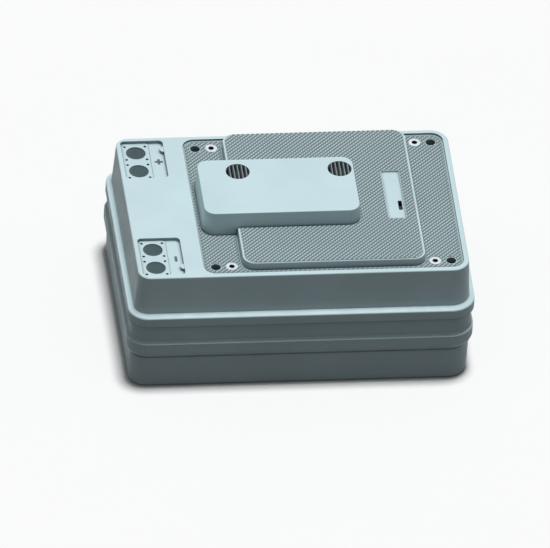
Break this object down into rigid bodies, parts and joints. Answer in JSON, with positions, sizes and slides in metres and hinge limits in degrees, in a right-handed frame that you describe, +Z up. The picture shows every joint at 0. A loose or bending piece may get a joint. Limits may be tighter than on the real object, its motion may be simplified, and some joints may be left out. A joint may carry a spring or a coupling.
{
  "type": "battery pack case",
  "caption": "Closed two-part moulded battery pack with stepped bands, textured lid, plus and minus socket pockets and a vented electronics cover.",
  "frame": {"origin": "centre of the case in plan, on the surface that it stands on", "axes": "+X along the case from the terminal end to the plain end, +Y from the negative to the positive pole, +Z up"},
  "size_m": [0.52, 0.36, 0.2365],
  "materials": {
    "case_plastic": "moulded, fine satin grain, pale blue-grey",
    "vent_plastic": "moulded, satin, darker blue-grey",
    "plate_plastic": "moulded, satin, pale blue-grey",
    "socket_plastic": "moulded, matte, mid blue-grey",
    "contact_brass": "turned, satin",
    "insert_brass": "turned, dull satin",
    "screw_steel": "zinc plated, satin",
    "seal_rubber": "moulded, matte",
    "fan_plastic": "moulded, satin black",
    "switch_plastic": "moulded, matte black",
    "board_green": "solder mask over glass laminate",
    "chip_black": "moulded, matte",
    "standoff_brass": "turned, satin",
    "sink_aluminium": "extruded, satin",
    "cell_can": "drawn can under blue film",
    "link_aluminium": "stamped, satin",
    "shield_plastic": "thin sheet, translucent white",
    "frame_steel": "powder coated, satin",
    "foam": "closed-cell foam, matte",
    "bar_copper": "bare copper, satin",
    "contactor_plastic": "moulded, matte black",
    "fuse_ceramic": "glazed body, plated blades"
  },
  "bodies": {
    "case": {"back_cells": "cell_can", "back_foam_pad": "foam", "back_side_plate": "frame_steel", "bar_bolts": "screw_steel", "board_chips": "chip_black", "board_screws": "screw_steel", "board_standoffs": "standoff_brass", "case_screws": "screw_steel", "case_seal": "seal_rubber", "cell_links": "link_aluminium", "control_board": "board_green", "cover_screws": "screw_steel", "electronics_cover": "case_plastic", "fan_screws": "screw_steel", "front_cells": "cell_can", "front_foam_pad": "foam", "front_side_plate": "frame_steel", "fuse_holder": "contactor_plastic", "heat_sink": "sink_aluminium", "left_end_plate": "frame_steel", "left_fan_frame": "fan_plastic", "left_vent_grille": "vent_plastic", "link_shield": "shield_plastic", "lower_case": "case_plastic", "main_contactor": "contactor_plastic", "main_fuse": "fuse_ceramic", "negative_contact_nuts": "screw_steel", "negative_inlet_bar": "bar_copper", "negative_inner_contact": "contact_brass", "negative_inner_socket": "socket_plastic", "negative_outer_contact": "contact_brass", "negative_outer_socket": "socket_plastic", "negative_outlet_bar": "bar_copper", "negative_terminal_plate": "plate_plastic", "positive_contact_nuts": "screw_steel", "positive_inlet_bar": "bar_copper", "positive_inner_contact": "contact_brass", "positive_inner_socket": "socket_plastic", "positive_outer_contact": "contact_brass", "positive_outer_socket": "socket_plastic", "positive_outlet_bar": "bar_copper", "positive_terminal_plate": "plate_plastic", "right_end_plate": "frame_steel", "right_fan_frame": "fan_plastic", "right_vent_grille": "vent_plastic", "switch_body": "switch_plastic", "switch_screws": "screw_steel", "threaded_inserts": "insert_brass", "upper_case": "case_plastic"},
    "left_rotor": {"left_fan_rotor": "fan_plastic"},
    "right_rotor": {"right_fan_rotor": "fan_plastic"},
    "switch_knob": {"switch_slider": "switch_plastic"}
  },
  "joints": [
    {"name": "left_fan_spin", "type": "hinge", "parent": "case", "child": "left_rotor", "pos_m": [-0.0806, 0.0355, 0.2259], "axis": [0, 0, 1], "continuous": true},
    {"name": "right_fan_spin", "type": "hinge", "parent": "case", "child": "right_rotor", "pos_m": [0.072, 0.0355, 0.2259], "axis": [0, 0, 1], "continuous": true},
    {"name": "switch_slide", "type": "slide", "parent": "case", "child": "switch_knob", "axis": [0, 1, 0], "range_m": [0, 0.012]}
  ]
}
